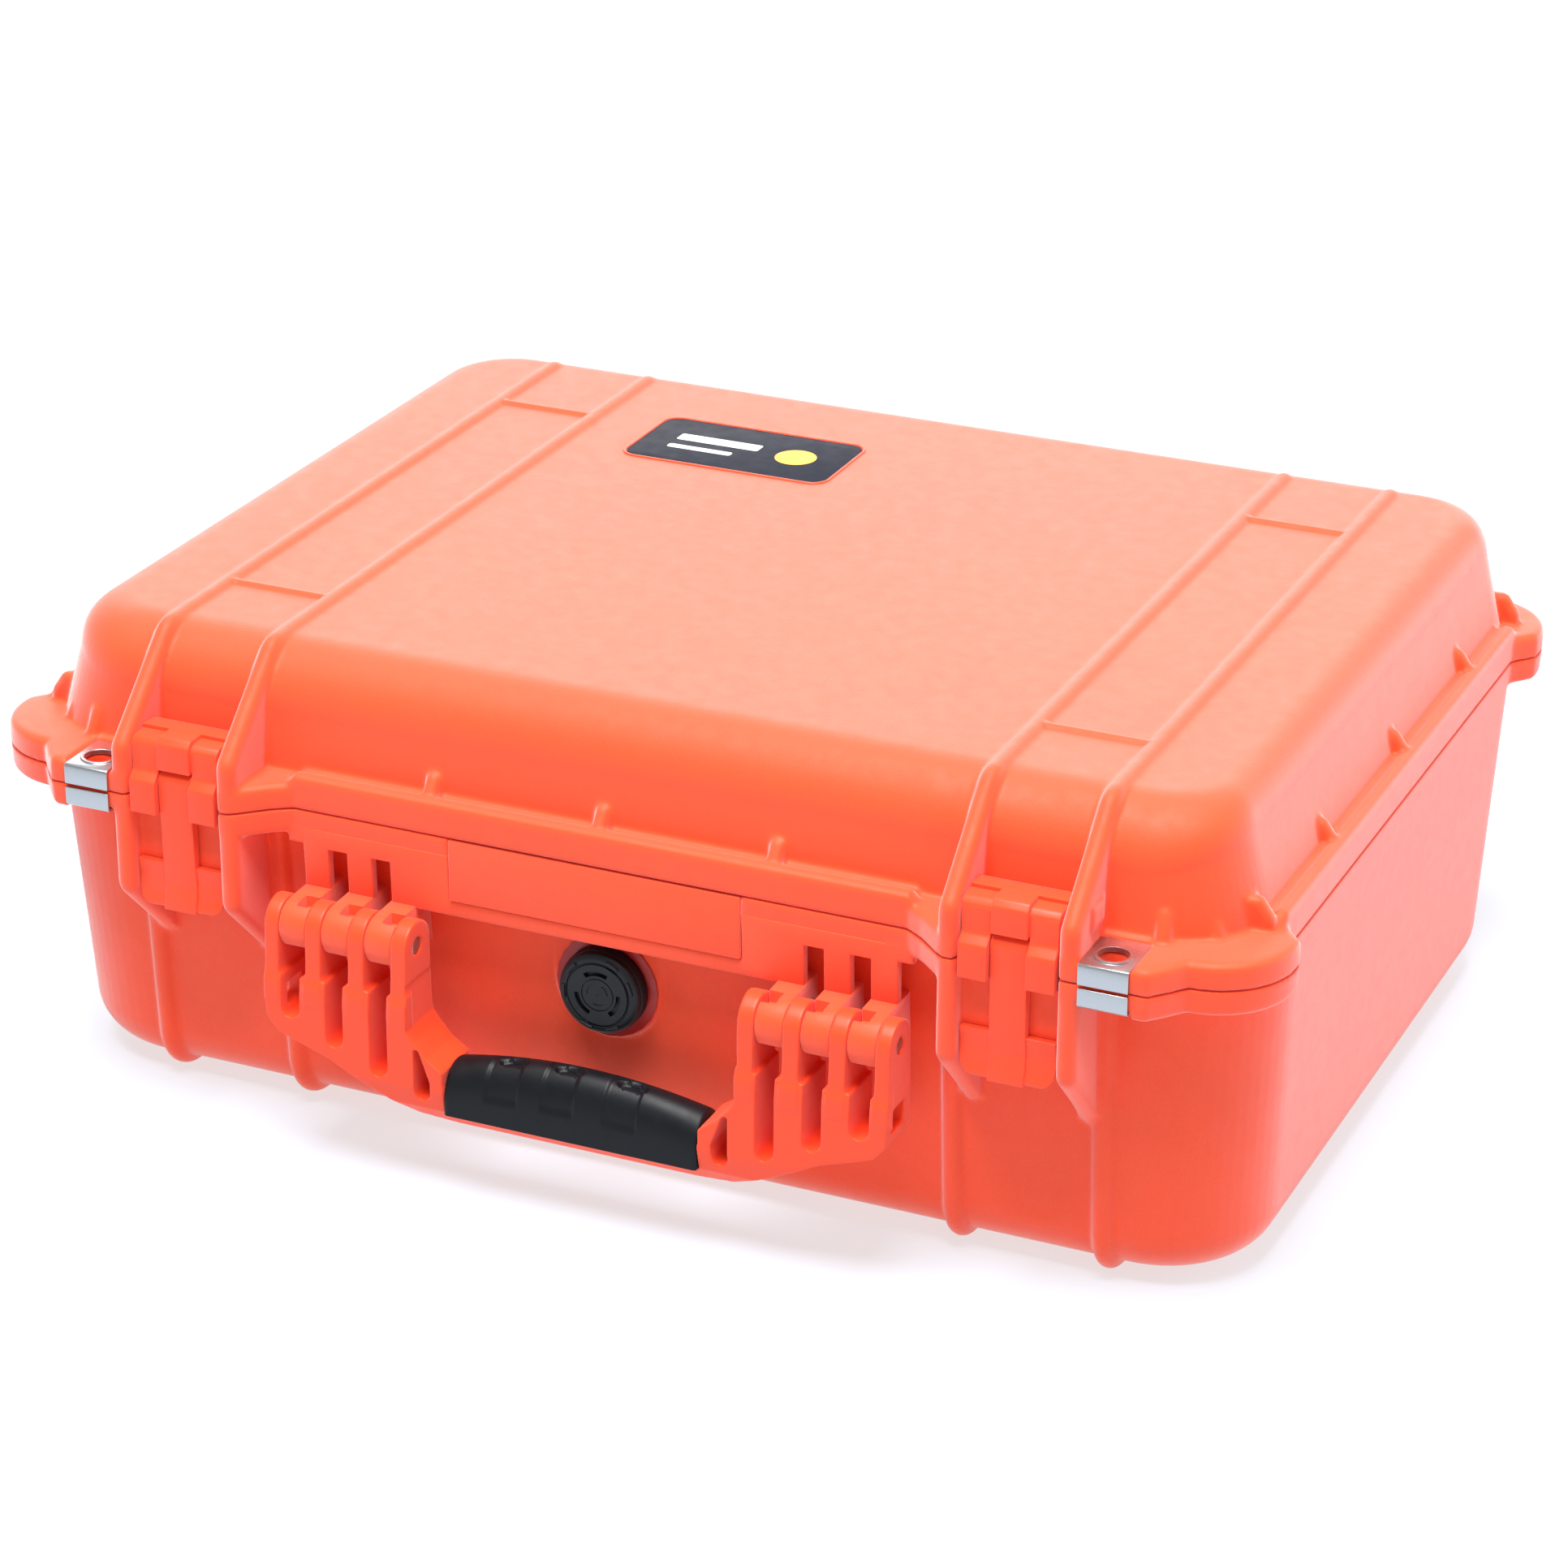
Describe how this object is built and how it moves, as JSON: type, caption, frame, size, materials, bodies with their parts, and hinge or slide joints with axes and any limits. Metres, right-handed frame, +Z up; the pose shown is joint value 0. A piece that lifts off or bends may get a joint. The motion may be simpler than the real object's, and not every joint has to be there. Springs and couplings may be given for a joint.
{
  "type": "hard equipment case",
  "caption": "Ribbed moulded protective case with a hinged lid, double-action front latches, a folding front handle, a pressure valve and steel padlock plates.",
  "frame": {"origin": "on the floor, under the middle of the closed case", "axes": "+X to the right seen from the front, -Y out of the latch side, +Z up"},
  "size_m": [0.502, 0.4006, 0.188],
  "materials": {
    "base_plastic": "fine grained moulded resin, satin",
    "lid_plastic": "fine grained moulded resin, satin",
    "seal_rubber": "smooth extruded seal",
    "badge_dark": "dark satin plate",
    "valve_black": "satin black moulding",
    "membrane_white": "porous vent membrane",
    "label_red": "thin printed ring, no lettering",
    "plate_steel": "pressed stainless steel, satin",
    "latch_plastic": "smooth moulded resin, light satin",
    "pin_steel": "drawn stainless wire",
    "handle_plastic": "smooth moulded resin, light satin",
    "grip_rubber": "overmoulded soft grip, satin"
  },
  "bodies": {
    "case": {"base_shell": "base_plastic", "nameplate": "base_plastic", "valve_body": "valve_black", "valve_cap": "valve_black", "valve_membrane": "membrane_white", "valve_seal": "seal_rubber", "valve_label": "label_red", "valve_nut": "valve_black", "padlock_plate_lower_left": "plate_steel", "padlock_plate_lower_right": "plate_steel", "handle_pin_left": "pin_steel", "handle_pin_right": "pin_steel", "hinge_pin_left": "pin_steel", "hinge_pin_right": "pin_steel"},
    "lid": {"lid_shell": "lid_plastic", "lid_gasket": "seal_rubber", "badge": "badge_dark", "padlock_plate_upper_left": "plate_steel", "padlock_plate_upper_right": "plate_steel", "hook_pin_left": "pin_steel", "hook_pin_right": "pin_steel"},
    "handle": {"handle_frame": "handle_plastic", "handle_grip": "grip_rubber"},
    "hook_left": {"latch_hook_left": "latch_plastic", "lever_pin_left": "pin_steel"},
    "lever_left": {"latch_lever_left": "latch_plastic"},
    "hook_right": {"latch_hook_right": "latch_plastic", "lever_pin_right": "pin_steel"},
    "lever_right": {"latch_lever_right": "latch_plastic"}
  },
  "joints": [
    {"name": "lid_hinge", "type": "hinge", "parent": "case", "child": "lid", "pos_m": [0, 0.1923, 0.134], "axis": [-1, 0, 0], "range_deg": [0, 102]},
    {"name": "handle_swing", "type": "hinge", "parent": "case", "child": "handle", "pos_m": [0, -0.1889, 0.0935], "axis": [-1, 0, 0], "range_deg": [0, 120]},
    {"name": "latch_hook_left", "type": "hinge", "parent": "lid", "child": "hook_left", "pos_m": [-0.1619, -0.1755, 0.1515], "axis": [-1, 0, 0], "range_deg": [0, 90]},
    {"name": "latch_lever_left", "type": "hinge", "parent": "hook_left", "child": "lever_left", "pos_m": [-0.1619, -0.1868, 0.1392], "axis": [-1, 0, 0], "range_deg": [0, 95]},
    {"name": "latch_hook_right", "type": "hinge", "parent": "lid", "child": "hook_right", "pos_m": [0.1619, -0.1755, 0.1515], "axis": [-1, 0, 0], "range_deg": [0, 90]},
    {"name": "latch_lever_right", "type": "hinge", "parent": "hook_right", "child": "lever_right", "pos_m": [0.1619, -0.1868, 0.1392], "axis": [-1, 0, 0], "range_deg": [0, 95]}
  ]
}
